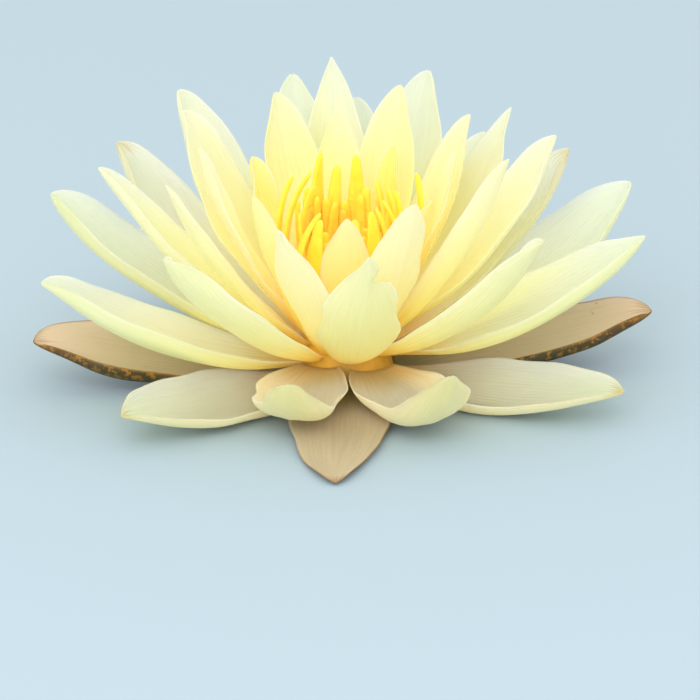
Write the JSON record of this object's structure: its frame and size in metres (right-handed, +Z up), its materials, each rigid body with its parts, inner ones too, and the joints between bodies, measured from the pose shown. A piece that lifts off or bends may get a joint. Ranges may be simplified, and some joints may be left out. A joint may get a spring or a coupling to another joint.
{
  "type": "yellow water lily flower",
  "caption": "Open yellow water lily, picked under its receptacle and resting on its sepals, with boat-shaped petals around a crown of strap-like stamens.",
  "frame": {"origin": "middle of the flat cut scar under the receptacle, on the surface that the flower rests on", "axes": "+Z is up along the flower's axis, the front sepal points to -Y, and +X is to the right as seen from the front"},
  "size_m": [0.159, 0.1599, 0.0725],
  "materials": {
    "receptacle_flesh": "waxy, golden yellow",
    "sepal_skin": "satin, pinkish tan inside and dark olive outside",
    "low_petal_skin": "satin cream with a pinkish base",
    "outer_petal_skin": "satin, pale greenish yellow",
    "middle_petal_skin": "satin, light yellow",
    "inner_petal_skin": "satin, clear yellow",
    "stamen_straps": "satin, deep yellow",
    "stigma_surface": "velvety, deep yellow"
  },
  "bodies": {
    "root": {"receptacle": "receptacle_flesh", "sepal_left": "sepal_skin", "sepal_front": "sepal_skin", "sepal_right": "sepal_skin", "sepal_back": "sepal_skin", "petal_low_1": "low_petal_skin", "petal_low_2": "low_petal_skin", "petal_low_3": "low_petal_skin", "petal_low_4": "low_petal_skin", "petal_low_5": "low_petal_skin", "petal_low_6": "low_petal_skin", "petal_outer_1": "outer_petal_skin", "petal_outer_2": "outer_petal_skin", "petal_outer_3": "outer_petal_skin", "petal_outer_4": "outer_petal_skin", "petal_outer_5": "outer_petal_skin", "petal_outer_6": "outer_petal_skin", "petal_outer_7": "outer_petal_skin", "petal_outer_8": "outer_petal_skin", "petal_outer_9": "outer_petal_skin", "petal_outer_10": "outer_petal_skin", "petal_outer_11": "outer_petal_skin", "petal_middle_1": "middle_petal_skin", "petal_middle_2": "middle_petal_skin", "petal_middle_3": "middle_petal_skin", "petal_middle_4": "middle_petal_skin", "petal_middle_5": "middle_petal_skin", "petal_middle_6": "middle_petal_skin", "petal_middle_7": "middle_petal_skin", "petal_middle_8": "middle_petal_skin", "petal_middle_9": "middle_petal_skin", "petal_middle_10": "middle_petal_skin", "petal_middle_11": "middle_petal_skin", "petal_middle_12": "middle_petal_skin", "petal_middle_13": "middle_petal_skin", "petal_middle_14": "middle_petal_skin", "petal_middle_15": "middle_petal_skin", "petal_inner_1": "inner_petal_skin", "petal_inner_2": "inner_petal_skin", "petal_inner_3": "inner_petal_skin", "petal_inner_4": "inner_petal_skin", "petal_inner_5": "inner_petal_skin", "petal_inner_6": "inner_petal_skin", "petal_inner_7": "inner_petal_skin", "petal_inner_8": "inner_petal_skin", "petal_inner_9": "inner_petal_skin", "petal_inner_10": "inner_petal_skin", "stamens": "stamen_straps", "stigma_disc": "stigma_surface"}
  },
  "joints": []
}
